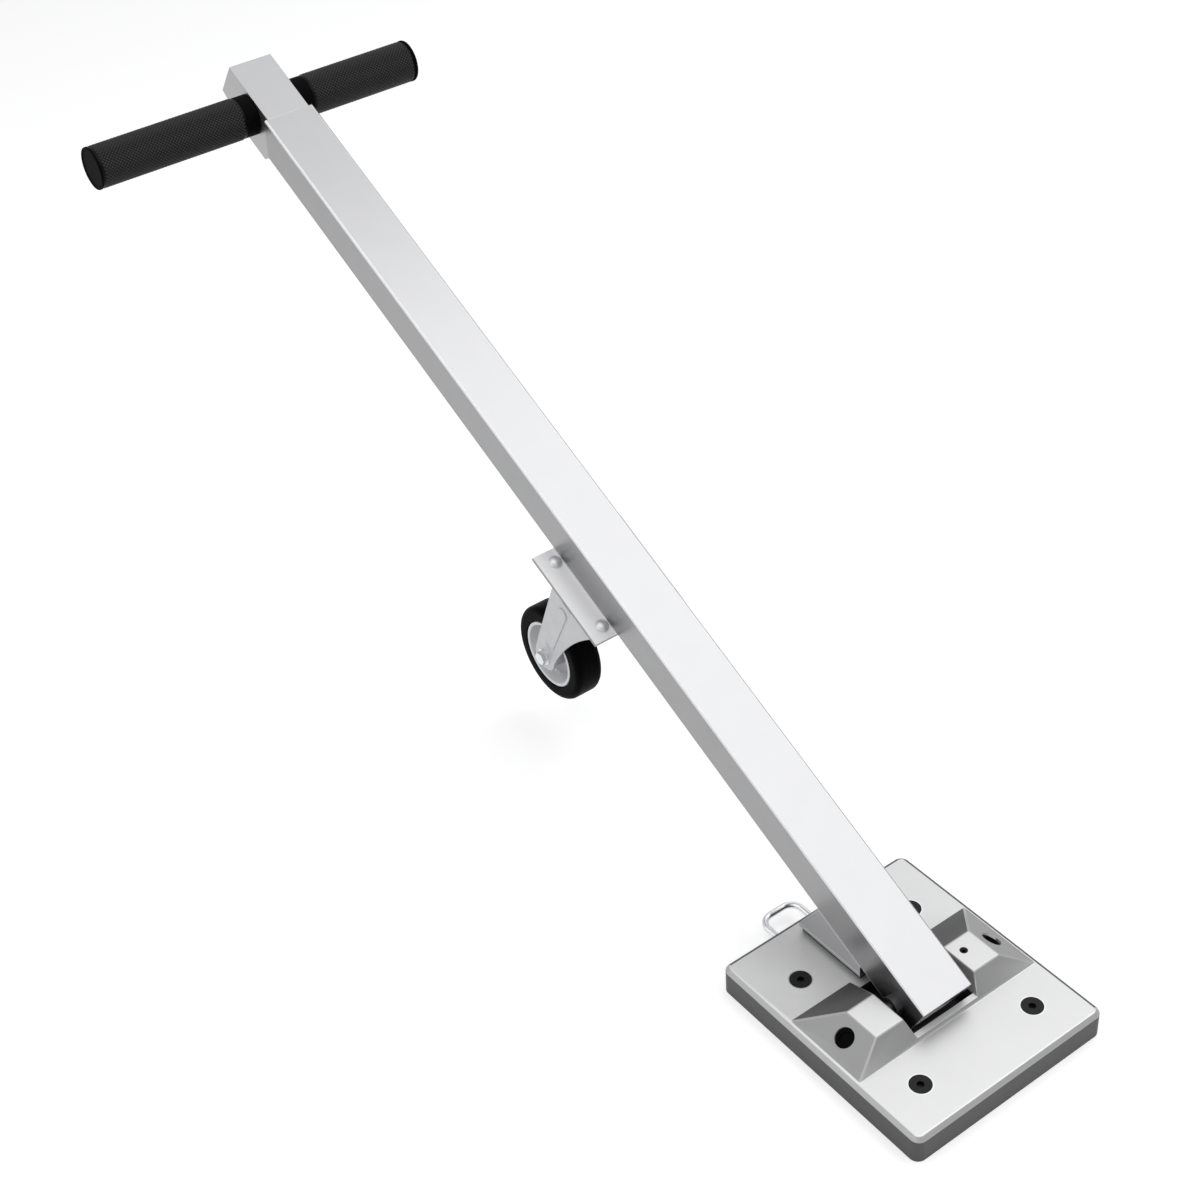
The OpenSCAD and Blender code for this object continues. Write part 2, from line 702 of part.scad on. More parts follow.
// Ball groove round the swivel axis
module ball_groove() {
    translate([0, 0, -ball_depth]) rotate_extrude() translate([ball_circle / 2, 0]) circle(r = groove_r);
}
module upper_race() color("lightsteelblue") on_swivel() difference() {
    deep_rod(race_d, race_top_d, race_top_d + race_h);
    deep_rod(race_bore_d, race_top_d - over, race_top_d + race_h + over);
    ball_groove();
}
module kingpin() color("silver") on_swivel() {
    web_top_d = plate_d - bracket_t;
    deep_rod(king_d, web_top_d, crown_bottom_d + move_gap + king_nut_h);
    deep_rod(king_head_d, web_top_d - king_head_h, web_top_d);
}
module kingpin_nut() color("silver") on_swivel() difference() {
    translate([0, 0, -crown_bottom_d - move_gap - king_nut_h]) hex_prism(king_nut_af, king_nut_h);
    deep_rod(king_d + 2 * seat_fit, crown_bottom_d, crown_bottom_d + king_nut_h + over);
}
module swivel_balls() color("silver") on_swivel() for (i = [0 : ball_count - 1])
    rotate([0, 0, 360 * i / ball_count]) translate([ball_circle / 2, 0, -ball_depth]) sphere(d = ball_d);
// Side view of the fork, drawn as y along the lever and z in front of the tube's face
module fork_side() {
    half = crown_l / 2;
    top = over - crown_top_d;
    axle = [trail, -axle_depth];
    rear_low = [half, -crown_top_d - crown_side_h];
    hollow = hollow_centre([-half, -crown_top_d - crown_side_h], leg_hollow_r, axle, leg_r - leg_sunk);
    difference() {
        union() {
            difference() {
                polygon([[-half, top], [-half, -axle_depth], axle, touch(rear_low, axle, leg_r), rear_low, [half, top]]);
                translate(hollow) circle(r = leg_hollow_r);
            }
            translate(axle) circle(r = leg_r);
        }
        translate(axle) circle(d = axle_d + 2 * seat_fit);
        translate([leg_slot_rear, -crown_top_d - leg_slot_drop]) {
            square([leg_slot_l - leg_slot_h, leg_slot_h], center = true);
            for (y = [-1, 1]) translate([y * (leg_slot_l - leg_slot_h) / 2, 0]) circle(d = leg_slot_h);
        }
    }
}
// Outline of the pressed rib that runs down a leg to the axle
module rib_outline() {
    run = axle_depth - crown_top_d;
    from = crown_top_d + rib_start_share * run;
    to = crown_top_d + rib_end_share * run;
    for (d = [from, to]) translate([trail, -d]) circle(d = rib_w);
    translate([trail - rib_w / 2, -to]) square([rib_w, to - from]);
}
// Section of the folded fork
module fork_section() {
    difference() {
        trough(leg_out, leg_low, crown_top_d, crown_round);
        trough(leg_in, leg_low + over, crown_bottom_d, crown_inner_r);
    }
}
module caster_fork() color("lightsteelblue") on_swivel() difference() {
    union() {
        intersection() {
            along_lever(-crown_l, crown_l) fork_section();
            across(mount_w) fork_side();
        }
        for (x = [-1, 1])
            translate([x * (leg_out + (rib_h - leg_t / 2) / 2), 0, 0]) across(rib_h + leg_t / 2) rib_outline();
    }
    deep_rod(king_d + 2 * run_fit, crown_top_d - over, crown_bottom_d + over);
    ball_groove();
}
module axle_bolt() color("silver") on_axle() {
    translate([(axle_nut_h + axle_tail) / 2, 0, 0])
        cross_rod(axle_d, 2 * leg_out + axle_nut_h + axle_tail);
    translate([-leg_out, 0, 0]) rotate([0, -90, 0]) {
        cylinder(d = axle_flange_d, h = axle_flange_t);
        translate([0, 0, axle_flange_t]) hex_prism(axle_hex, axle_head_h);
    }
}
module axle_nut() color("silver") on_axle() difference() {
    translate([leg_out, 0, 0]) rotate([0, 90, 0]) hex_prism(axle_hex, axle_nut_h);
    cross_rod(axle_d + 2 * seat_fit, 4 * leg_out);
}
module axle_sleeve() color("silver") on_axle() difference() {
    cross_rod(axle_sleeve_d, 2 * leg_in - 2 * seat_fit);
    cross_rod(axle_d + 2 * seat_fit, 2 * leg_in + over);
}
// Revolves a half section, drawn as radius and place along the axle
module wheel_turned() {
    on_axle() rotate([0, 90, 0]) rotate_extrude() children();
}
module wheel_rim() color("lightgray") wheel_turned() {
    translate([rim_d / 2 - rim_band, -rim_w / 2]) square([rim_band, rim_w]);
    translate([bush_outer_d / 2, -web_t / 2]) square([(rim_d - bush_outer_d) / 2 - rim_band / 2, web_t]);
    translate([bush_outer_d / 2, -hub_w / 2]) square([(hub_d - bush_outer_d) / 2, hub_w]);
}
module wheel_bush() color("white") wheel_turned()
    translate([axle_sleeve_d / 2 + run_fit, -hub_w / 2])
        square([(bush_outer_d - axle_sleeve_d) / 2 - run_fit, hub_w]);
module tyre() color("black") wheel_turned() {
    translate([rim_d / 2, -tyre_w / 2]) square([tread_h - tyre_round, tyre_w]);
    translate([rim_d / 2, tyre_round - tyre_w / 2]) square([tread_h, tyre_w - 2 * tyre_round]);
    for (y = [-1, 1])
        translate([wheel_d / 2 - tyre_round, y * (tyre_w / 2 - tyre_round)]) circle(r = tyre_round);
}

base_plate();
front_yoke();
rear_yoke();
front_magnets();
rear_magnets();
front_cover_sheet();
rear_cover_sheet();
magnet_screws();
pivot_pin();
pin_set_screw();
pin_caps();
tether_loop();
lever_tube();
pivot_sleeve();
pivot_bushes();
heel_cheeks();
heel_sole();
heel_pad();
lever_head();
crossbar();
left_grip();
right_grip();
grip_collars();
grip_end_plugs();
caster_mount_plate();
caster_bracket();
caster_top_plate();
caster_bolts();
caster_nuts();
upper_race();
kingpin();
kingpin_nut();
swivel_balls();
caster_fork();
axle_bolt();
axle_nut();
axle_sleeve();
wheel_rim();
wheel_bush();
tyre();
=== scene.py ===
# %% [markdown]
# # A magnetic manhole cover lifter
# The tool is a flat magnet base with two sloped hinge blocks, a long box-section lever that leans back from the hinge,
# a swivel caster half way along it and a cross handle with two knurled grips.
# The solids come from CAD, already in place and in metres. They could be rendered as they are, but real metal shows
# itself in its softened edges and its finish, so this lesson adds those and models the turned pieces afresh.

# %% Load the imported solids
import json
import math

import bmesh
import bpy
from mathutils import Matrix, Vector

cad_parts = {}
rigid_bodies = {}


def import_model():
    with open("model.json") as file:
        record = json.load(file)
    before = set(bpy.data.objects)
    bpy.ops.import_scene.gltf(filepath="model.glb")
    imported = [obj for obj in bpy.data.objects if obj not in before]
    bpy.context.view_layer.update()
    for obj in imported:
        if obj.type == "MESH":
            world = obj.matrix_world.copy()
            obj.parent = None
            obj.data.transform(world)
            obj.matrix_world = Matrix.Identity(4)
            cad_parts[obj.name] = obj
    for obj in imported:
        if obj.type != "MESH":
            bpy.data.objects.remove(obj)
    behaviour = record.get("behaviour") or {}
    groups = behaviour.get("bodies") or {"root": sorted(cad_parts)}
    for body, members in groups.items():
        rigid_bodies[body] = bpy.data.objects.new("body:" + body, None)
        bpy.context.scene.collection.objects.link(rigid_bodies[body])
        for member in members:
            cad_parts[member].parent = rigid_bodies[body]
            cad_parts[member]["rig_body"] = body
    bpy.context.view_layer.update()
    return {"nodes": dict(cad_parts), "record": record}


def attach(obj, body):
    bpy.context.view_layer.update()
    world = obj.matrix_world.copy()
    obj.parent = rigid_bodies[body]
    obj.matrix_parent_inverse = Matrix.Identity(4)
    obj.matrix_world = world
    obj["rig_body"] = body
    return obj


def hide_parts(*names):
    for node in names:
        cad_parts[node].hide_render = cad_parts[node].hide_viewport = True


for leftover in list(bpy.data.objects):
    bpy.data.objects.remove(leftover)
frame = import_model()
solids = frame["nodes"]

# %% [markdown]
# ## The lever's own axes
# Everything on the lever leans at the same angle, so it is far easier to model a piece upright in the lever's axes
# and lean it once. The matrix below does that: x runs across, y along the tube from its toe, and z out of its front.
# Lengths are written in millimetres, as on a drawing, and scaled to metres where they are used.

# %% Axes of the lever, the handle and the axle
MM = 0.001
TILT = math.radians(26.8)
PIVOT = Vector((0, -9.5, 31.0)) * MM
PIVOT_IN_LEVER = Vector((0, 19.4, -22.1)) * MM
HANDLE_IN_LEVER = Vector((0, 887, -18)) * MM
AXLE_IN_LEVER = Vector((0, 409.7, -167)) * MM
LEVER = Matrix.Translation(PIVOT) @ Matrix.Rotation(TILT, 4, "X") @ Matrix.Translation(-PIVOT_IN_LEVER)
HANDLE = LEVER @ Matrix.Translation(HANDLE_IN_LEVER)
AXLE = LEVER @ Matrix.Translation(AXLE_IN_LEVER)
print("handle at", tuple(round(v, 3) for v in HANDLE.translation))
print("axle at", tuple(round(v, 3) for v in AXLE.translation))

# %% [markdown]
# ## Camera
# The photograph was measured first: its straight edges give the place, the turn and the lens of the camera.
# A camera matrix holds the picture's right, up and backward directions as its columns, so the measured angles can be
# written straight into it, with no tracking constraint to go wrong.

# %% Camera at the photograph's angle
AZIMUTH, ELEVATION, ROLL = (math.radians(angle) for angle in (-34.44, 37.61, -4.21))
CAMERA_PLACE = Vector((-0.7030, -0.6820, 1.1199))
SENSOR_WIDTH, LENS = 36, 61.95


def link(obj):
    bpy.context.scene.collection.objects.link(obj)
    return obj


level_share = math.cos(ELEVATION)
back = Vector((math.sin(AZIMUTH) * level_share, -math.cos(AZIMUTH) * level_share, math.sin(ELEVATION)))
right = (-back).cross(Vector((0, 0, 1))).normalized()
up = right.cross(-back)
turned_right = math.cos(ROLL) * right + math.sin(ROLL) * up
turned_up = -math.sin(ROLL) * right + math.cos(ROLL) * up
directions = Matrix((turned_right, turned_up, back)).transposed()
camera_data = bpy.data.cameras.new("photo_camera")
camera_data.sensor_width, camera_data.lens = SENSOR_WIDTH, LENS
camera = link(bpy.data.objects.new("photo_camera", camera_data))
camera.matrix_world = Matrix.Translation(CAMERA_PLACE) @ directions.to_4x4()
bpy.context.scene.camera = camera
print("camera at", tuple(CAMERA_PLACE), "lens", LENS)

# %% [markdown]
# ## Studio
# Bare metal is drawn by what it mirrors. Two softboxes hang side by side to the right: the tube's lower front mirrors
# the bright one, its top and the base mirror the softer one, and the slopes and sides mirror the dimmer room.
# A box at the left draws a bright line along every left edge, and one overhead fills the caster beside the tube.
# The floor and the room are pale. For direct, mirrored and refracted views a little glow carries them close to white,
# without more light on the tool.

# %% Softboxes
def softbox(name, place, target, width, height, watts):
    data = bpy.data.lights.new(name, "AREA")
    data.shape = "RECTANGLE"
    data.size, data.size_y = width, height
    data.energy = watts
    lamp = link(bpy.data.objects.new(name, data))
    lamp.location = place
    lamp.rotation_euler = (Vector(target) - Vector(place)).to_track_quat("-Z", "Y").to_euler()
    print(name, "watts:", watts)


softbox("key_softbox", place=(1.1, -0.45, 1.95), target=(1.1, -0.45, 0), width=1.7, height=2.4, watts=19.5)
softbox("far_softbox", place=(1.1, 1.55, 1.95), target=(1.1, 1.55, 0), width=1.7, height=1.6, watts=4.6)
softbox("left_softbox", place=(-2.0, 0.6, 1.1), target=(0, 0.6, 0.25), width=3.4, height=1.4, watts=10.5)
softbox("top_softbox", place=(-0.6, 0.1, 2.2), target=(-0.6, 0.1, 0), width=1.5, height=2.2, watts=12)

# %% A room that looks paler than the light it gives
ROOM_COLOUR = (0.98, 0.985, 1.0, 1)
ROOM_LIGHT, ROOM_SEEN = 0.36, 0.75


def seen_level(tree, unseen, seen):
    """Nodes that give one level to direct, mirrored and refracted views, and another to all other light."""
    path = tree.nodes.new("ShaderNodeLightPath")
    is_seen = path.outputs["Is Camera Ray"]
    for way in ("Is Glossy Ray", "Is Transmission Ray"):
        either = tree.nodes.new("ShaderNodeMath")
        either.operation = "MAXIMUM"
        tree.links.new(is_seen, either.inputs[0])
        tree.links.new(path.outputs[way], either.inputs[1])
        is_seen = either.outputs[0]
    level = tree.nodes.new("ShaderNodeMapRange")
    level.inputs["To Min"].default_value, level.inputs["To Max"].default_value = unseen, seen
    tree.links.new(is_seen, level.inputs["Value"])
    return level.outputs["Result"]


world = bpy.data.worlds.new("studio_room")
world.use_nodes = True
room = world.node_tree
background = room.nodes["Background"]
background.inputs["Color"].default_value = ROOM_COLOUR
room.links.new(seen_level(room, ROOM_LIGHT, ROOM_SEEN), background.inputs["Strength"])
bpy.context.scene.world = world
bpy.context.scene.view_settings.view_transform = "Standard"
print("room light:", ROOM_LIGHT, "seen as:", ROOM_SEEN)

# %% Floor
FLOOR_REACH = 25
floor_mesh = bpy.data.meshes.new("floor")
bm = bmesh.new()
bmesh.ops.create_grid(bm, x_segments=1, y_segments=1, size=FLOOR_REACH)
bm.to_mesh(floor_mesh)
bm.free()
floor = link(bpy.data.objects.new("floor", floor_mesh))
print("floor faces:", len(floor_mesh.polygons))

# %% Pale floor that keeps the shadow
FLOOR_COLOUR = (0.82, 0.82, 0.82, 1)
FLOOR_GLOW = 0.46
paper = bpy.data.materials.new("pale_floor")
paper.use_nodes = True
tree = paper.node_tree
tree.nodes.clear()
diffuse = tree.nodes.new("ShaderNodeBsdfDiffuse")
diffuse.inputs["Color"].default_value = FLOOR_COLOUR
glow = tree.nodes.new("ShaderNodeEmission")
tree.links.new(seen_level(tree, 0, FLOOR_GLOW), glow.inputs["Strength"])
both = tree.nodes.new("ShaderNodeAddShader")
tree.links.new(diffuse.outputs[0], both.inputs[0])
tree.links.new(glow.outputs[0], both.inputs[1])
output = tree.nodes.new("ShaderNodeOutputMaterial")
tree.links.new(both.outputs[0], output.inputs["Surface"])
floor_mesh.materials.append(paper)
print("floor material:", paper.name)

# %% [markdown]
# ## Finishes
# Each finish is a Principled shader with two noises on object coordinates. A fine one, stretched along the direction
# the metal was brushed or ground, varies the roughness and raises a faint bump. A broad, cloudy one shifts the colour
# slightly, as handling and uneven polishing do. Only the stretch, the turn and the amounts differ between finishes.

# %% One recipe for every finish
ALONG_LEVER = (TILT, 0, 0)
NOISE_LOW, NOISE_HIGH = 0.25, 0.75
RELIEF_DEPTH = 0.1


def noise(tree, vector, scale, detail):
    texture = tree.nodes.new("ShaderNodeTexNoise")
    texture.inputs["Scale"].default_value = scale
    texture.inputs["Detail"].default_value = detail
    tree.links.new(vector, texture.inputs["Vector"])
    return texture.outputs["Fac"]


def finish(name, colour, metallic, roughness, stretch, spread=0.06, bump=0.05, cloud=0.06, cloud_scale=45,
           turn=(0, 0, 0), gloss=0.5):
    material = bpy.data.materials.new(name)
    material.use_nodes = True
    tree = material.node_tree
    shader = tree.nodes["Principled BSDF"]
    shader.inputs["Metallic"].default_value = metallic
    shader.inputs["Specular IOR Level"].default_value = gloss
    coords = tree.nodes.new("ShaderNodeTexCoord").outputs["Object"]
    brush = tree.nodes.new("ShaderNodeMapping")
    brush.vector_type = "TEXTURE"
    brush.inputs["Rotation"].default_value = turn
    brush.inputs["Scale"].default_value = [MM * length for length in stretch]
    tree.links.new(coords, brush.inputs["Vector"])
    grain = noise(tree, brush.outputs["Vector"], scale=1, detail=3)
    rough = tree.nodes.new("ShaderNodeMapRange")
    rough.inputs["From Min"].default_value, rough.inputs["From Max"].default_value = NOISE_LOW, NOISE_HIGH
    rough.inputs["To Min"].default_value = roughness - spread
    rough.inputs["To Max"].default_value = roughness + spread
    tree.links.new(grain, rough.inputs["Value"])
    tree.links.new(rough.outputs["Result"], shader.inputs["Roughness"])
    relief = tree.nodes.new("ShaderNodeBump")
    relief.inputs["Strength"].default_value = bump
    relief.inputs["Distance"].default_value = RELIEF_DEPTH * MM
    tree.links.new(grain, relief.inputs["Height"])
    tree.links.new(relief.outputs["Normal"], shader.inputs["Normal"])
    tint = tree.nodes.new("ShaderNodeMix")
    tint.data_type = "RGBA"
    tint.inputs["A"].default_value = [c * (1 - cloud) for c in colour] + [1]
    tint.inputs["B"].default_value = [min(1, c * (1 + cloud)) for c in colour] + [1]
    tree.links.new(noise(tree, coords, cloud_scale, detail=2), tint.inputs["Factor"])
    tree.links.new(tint.outputs["Result"], shader.inputs["Base Color"])
    return material


# Each line gives the colour, the metallic share, the roughness and the grain's stretch in mm, then what is special.
satin_plate = finish("satin_plate", (0.68, 0.68, 0.68), 0.6, 0.42, (1.4, 0.14, 1.4), spread=0.03, bump=0.01, cloud=0.02)
broken_edges = finish("broken_edges", (0.44, 0.44, 0.44), 0.5, 0.42, (1.4, 1.4, 1.4), spread=0.03, bump=0.01,
                      cloud=0.03)
milled_slopes = finish("milled_slopes", (0.34, 0.34, 0.34), 0.35, 0.5, (2, 0.2, 2), spread=0.04, bump=0.02, cloud=0.03)
# A darker copy of the slope finish for the slopes that face the rear: painted shade.
painted_shade_slopes = finish("painted_shade_slopes", (0.115, 0.115, 0.115), 0.6, 0.5, (2, 0.2, 2), spread=0.04, bump=0.02, cloud=0.05)
# Near black: the bar's dark skin on the base's outer sides, darkened as painted shade, and painted shade in the pocket
# and on the rear and right rims.
skin_and_painted_shade = finish("skin_and_painted_shade", (0.09, 0.09, 0.09), 0.8, 0.5, (2, 2, 0.2), spread=0.08)
polished_tube = finish("polished_tube", (0.425, 0.425, 0.43), 1, 0.3, (0.15, 9, 0.15), spread=0.015, bump=0.004,
                       cloud=0.02, turn=ALONG_LEVER)
drawn_sides = finish("drawn_sides", (0.33, 0.33, 0.335), 1, 0.32, (0.15, 9, 0.15), spread=0.015, bump=0.004,
                     cloud=0.04, turn=ALONG_LEVER)
satin_head = finish("satin_head", (0.43, 0.43, 0.435), 1, 0.36, (0.15, 5, 0.15), spread=0.02, bump=0.006,
                    cloud=0.02, turn=ALONG_LEVER)
# Pale bands on the lever's left corners and ends are a painted highlight; on the ledge the pale colour is partly wear,
# partly a painted highlight.
wear_and_painted_highlight = finish("wear_and_painted_highlight", (0.86, 0.86, 0.86), 0.2, 0.4, (0.3, 4, 0.3), turn=ALONG_LEVER)
print("materials so far:", len(bpy.data.materials))

# %% The other metals, plastics and rubbers
bright_zinc = finish("bright_zinc", (0.72, 0.73, 0.74), 1, 0.24, (0.8, 0.8, 0.8), spread=0.05)
white_zinc = finish("white_zinc", (0.9, 0.9, 0.905), 0.1, 0.45, (0.2, 4, 0.2), cloud=0.04, turn=ALONG_LEVER)
blue_zinc = finish("blue_zinc", (0.57, 0.58, 0.59), 0.5, 0.4, (1.5, 1.5, 1.5), cloud=0.08, cloud_scale=160)
dull_zinc = finish("dull_zinc", (0.62, 0.63, 0.64), 0.75, 0.42, (0.6, 0.6, 0.6), spread=0.05)
sheared_edge = finish("sheared_edge", (0.34, 0.34, 0.345), 0.3, 0.5, (1, 1, 0.15), turn=ALONG_LEVER)
plain_steel = finish("plain_steel", (0.4, 0.4, 0.41), 1, 0.4, (4, 0.3, 4))
nickel = finish("nickel", (0.62, 0.6, 0.56), 1, 0.25, (1, 1, 1))
sintered_bronze = finish("sintered_bronze", (0.13, 0.09, 0.05), 1, 0.5, (0.5, 0.5, 0.5), cloud=0.15)
black_oxide = finish("black_oxide", (0.006, 0.006, 0.0065), 0, 0.4, (0.6, 0.6, 0.6), cloud=0.2, gloss=0.2)
cap_plastic = finish("cap_plastic", (0.002, 0.002, 0.002), 0, 0.6, (0.5, 0.5, 0.5), cloud=0.2, gloss=0.03)
grip_rubber = finish("grip_rubber", (0.001, 0.001, 0.001), 0, 0.36, (0.6, 0.6, 0.6), cloud=0.25, cloud_scale=90,
                     gloss=0.12)
pad_rubber = finish("pad_rubber", (0.013, 0.013, 0.013), 0, 0.7, (0.7, 0.7, 0.7), bump=0.15, cloud=0.2)
tyre_rubber = finish("tyre_rubber", (0.0015, 0.0015, 0.0018), 0, 0.45, (0.8, 0.8, 0.8), cloud=0.25, cloud_scale=70,
                     gloss=0.02)
rim_plastic = finish("rim_plastic", (0.84, 0.85, 0.86), 0, 0.38, (1, 1, 1), cloud=0.04)
rim_dish = finish("rim_dish", (0.5, 0.5, 0.51), 0.5, 0.36, (1, 1, 1), cloud=0.1)
# Near black steel for the pivot pin and sleeve, which show only in the hinge slot: painted shade.
painted_shade_steel = finish("painted_shade_steel", (0.09, 0.09, 0.095), 1, 0.45, (0.8, 0.8, 0.8), cloud=0.15)
bush_nylon = finish("bush_nylon", (0.7, 0.69, 0.64), 0, 0.45, (0.6, 0.6, 0.6))
print("materials:", len(bpy.data.materials))

# %% [markdown]
# ## Softened solids
# A machined edge is never perfectly sharp: a narrow band on it always catches the light. A bevel modifier would reach
# every edge, the tiny ones round the holes too, and clamp itself to the smallest. So each solid is copied, its
# triangles are merged into flat faces, and only the edges that a rule picks are bevelled.
# Smooth shading would then bend the light across the flats. A weighted normal modifier gives each corner to its
# largest face, so the flats stay flat and only the narrow bands round off.

# %% Show a finished mesh, by itself or in place of a solid
def slot_of(node):
    return next(part["material_slot"] for part in frame["record"]["subparts"] if part["node"] == node)


def show(bm, name, body, materials, smooth=30):
    mesh = bpy.data.meshes.new(name)
    bm.to_mesh(mesh)
    bm.free()
    mesh.shade_smooth()
    mesh.set_sharp_from_angle(angle=math.radians(smooth))
    for material in materials:
        mesh.materials.append(material)
    piece = link(bpy.data.objects.new(name, mesh))
    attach(piece, body)
    flatten = piece.modifiers.new("flat_faces", "WEIGHTED_NORMAL")
    flatten.weight = 100
    flatten.keep_sharp = True
    return piece


def stand_for(node, bm, manner, materials, smooth=30):
    """Show a piece in place of one solid, on the same body."""
    piece = show(bm, f"{node}_{manner}", solids[node]["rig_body"], materials, smooth)
    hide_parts(node)


print("slots:", sorted({slot_of(node) for node in solids}))

# %% Copy a solid and bevel chosen edges
MERGE_DISTANCE = 0.001
LONG_EDGE = 2
FLAT_ANGLE, SHARP_ANGLE = math.radians(1), math.radians(15)


def merged_copy(node):
    bm = bmesh.new()
    bm.from_mesh(solids[node].data)
    bmesh.ops.remove_doubles(bm, verts=bm.verts, dist=MERGE_DISTANCE * MM)
    bmesh.ops.dissolve_limit(bm, angle_limit=FLAT_ANGLE, verts=bm.verts, edges=bm.edges)
    return bm


def long_edge(edge):
    return edge.calc_length() > LONG_EDGE * MM


def soften(bm, width, segments, picks):
    sharp = [e for e in bm.edges if e.is_convex and e.calc_face_angle(0) > SHARP_ANGLE and picks(e)]
    bmesh.ops.bevel(bm, geom=sharp, offset=width * MM, offset_type="OFFSET", affect="EDGES", segments=segments,
                    profile=0.5, material=-1, clamp_overlap=False)
    return len(sharp)


def softened(node, width, material, segments=2):
    bm = merged_copy(node)
    print(node, "edges softened:", soften(bm, width, segments, long_edge))
    stand_for(node, bm, "softened", [material])


# %% [markdown]
# ## Base plate
# The plate was milled from one block: its flat tops are ground to a satin and its slopes keep the greyer milled finish.
# Its outer sides keep the dark skin of the bar it was cut from, painted darker still as shade, and its pocket and its
# rear and right rims are painted near black as shade. The slopes that face the rear are painted darker as shade. The
# lever's toe rubs its ledge, and the ledge's pale colour is partly that wear, partly a painted highlight.
# The edges are broken first, each kind by its own amount, so there is a pass for each. The rim's rules leave out
# every hole.
# Six materials on one mesh then show the finishes, and each face gets its own by where it lies and how it faces.

# %% Break the plate's edges, one kind at a time
BASE_TOP, LEDGE_Z = 22.4, 24.7
HALF_WIDTH, HALF_LENGTH = 87, 99
RIM_FOOT = 19
BLOCK_CLEAR = 4


def middle(edge):
    return (edge.verts[0].co + edge.verts[1].co) / 2


def near(value, level, slack=0.05):
    """Whether a coordinate is at a level, which is given in mm, as its slack is."""
    return abs(value - level * MM) < slack * MM


def near_sides(place, reach):
    """Whether a place is within a reach, in mm, of the plate's outer sides."""
    return abs(place.x) > (HALF_WIDTH - reach) * MM or abs(place.y) > (HALF_LENGTH - reach) * MM


def on_blocks(edge):
    return long_edge(edge) and middle(edge).z > (BASE_TOP + BLOCK_CLEAR) * MM


def on_ledge(edge):
    return long_edge(edge) and all(near(vert.co.z, LEDGE_Z) for vert in edge.verts)


def on_rim(edge):
    is_level = near(edge.verts[0].co.z - edge.verts[1].co.z, 0, slack=0.01)
    return is_level and near_sides(middle(edge), reach=4.2) and middle(edge).z > RIM_FOOT * MM


def on_upper_rim(edge):
    return on_rim(edge) and middle(edge).z > (BASE_TOP - 0.5) * MM


def on_lower_rim(edge):
    return on_rim(edge) and middle(edge).z < (BASE_TOP - 2) * MM


bm = merged_copy("base_plate")
print("block edges:", soften(bm, width=1.0, segments=4, picks=on_blocks))
print("ledge edges:", soften(bm, width=0.25, segments=2, picks=on_ledge))
print("upper rim edges:", soften(bm, width=0.8, segments=4, picks=on_upper_rim))
print("lower rim edges:", soften(bm, width=0.35, segments=2, picks=on_lower_rim))

# %% Give each face of the plate its finish
BASE_FINISHES = [satin_plate, skin_and_painted_shade, milled_slopes, broken_edges, painted_shade_slopes, wear_and_painted_highlight]
CORNER_ROUND = 7
POCKET_HALF, POCKET_FRONT, POCKET_REAR = 29, -34, 23
LEDGE_HALF = 33
SLOPE_AREA = 30


def at_corner(place):
    return abs(place.x) > (HALF_WIDTH - CORNER_ROUND) * MM and abs(place.y) > (HALF_LENGTH - CORNER_ROUND) * MM


def in_pocket(place):
    inside = abs(place.x) < POCKET_HALF * MM and POCKET_FRONT * MM < place.y < POCKET_REAR * MM
    return inside and place.z < (BASE_TOP - 1) * MM


def base_finish(face):
    place, normal = face.calc_center_median(), face.normal
    at_rim = near_sides(place, reach=5)
    # Rim faces that face the rear or the right are painted near black as shade.
    painted_shade_rim = at_rim and max(normal.xy) > 0.1 and min(normal.xy) > -0.1
    outer_side = (near_sides(place, reach=0.5) or at_corner(place)) and abs(normal.z) < 0.2
    # The ledge top is pale: partly the toe's wear, partly a painted highlight.
    if normal.z > 0.9 and abs(place.x) < LEDGE_HALF * MM and near(place.z, LEDGE_Z, slack=0.1):
        return wear_and_painted_highlight
    # The pocket is painted near black as shade; the outer sides are partly the bar's dark skin, partly painted shade.
    if in_pocket(place) or painted_shade_rim or outer_side:
        return skin_and_painted_shade
    if place.z <= RIM_FOOT * MM or normal.z >= (0.8 if at_rim else 0.97):
        return satin_plate
    if place.z <= (BASE_TOP + 0.3) * MM or face.calc_area() <= SLOPE_AREA * MM * MM:
        return broken_edges
    # Slopes that face the rear get the darker copy as painted shade.
    return painted_shade_slopes if normal.y > 0.3 else milled_slopes


bm.normal_update()
for face in bm.faces:
    face.material_index = BASE_FINISHES.index(base_finish(face))
for index, material in enumerate(BASE_FINISHES):
    print(material.name, "faces:", sum(face.material_index == index for face in bm.faces))
stand_for("base_plate", bm, "milled", BASE_FINISHES)

# %% [markdown]
# ## Turned pieces
# Round pieces are turned on a lathe or moulded in a round mould, so they are modelled the same way: a half section
# is drawn as distances along the axis and radii, and spun a full turn. A closed section gives a ring, and a section
# that starts and ends on the axis gives a solid.
# The first are the bright rims that the cutter left round the four screw heads of the base.

# %% Spin a half section about X
def turned(section, steps=96, closed=False):
    bm = bmesh.new()
    points = [bm.verts.new((x * MM, 0, r * MM)) for x, r in section]
    lines = [bm.edges.new(pair) for pair in zip(points, points[1:])]
    if closed:
        lines.append(bm.edges.new((points[-1], points[0])))
    bmesh.ops.spin(bm, geom=points + lines, cent=(0, 0, 0), axis=(1, 0, 0), angle=math.tau, steps=steps, use_merge=True)
    bmesh.ops.remove_doubles(bm, verts=bm.verts, dist=MERGE_DISTANCE * MM)
    bmesh.ops.recalc_face_normals(bm, faces=bm.faces)
    return bm


def placed(bm, matrix):
    bmesh.ops.transform(bm, verts=bm.verts, matrix=matrix)
    return bm


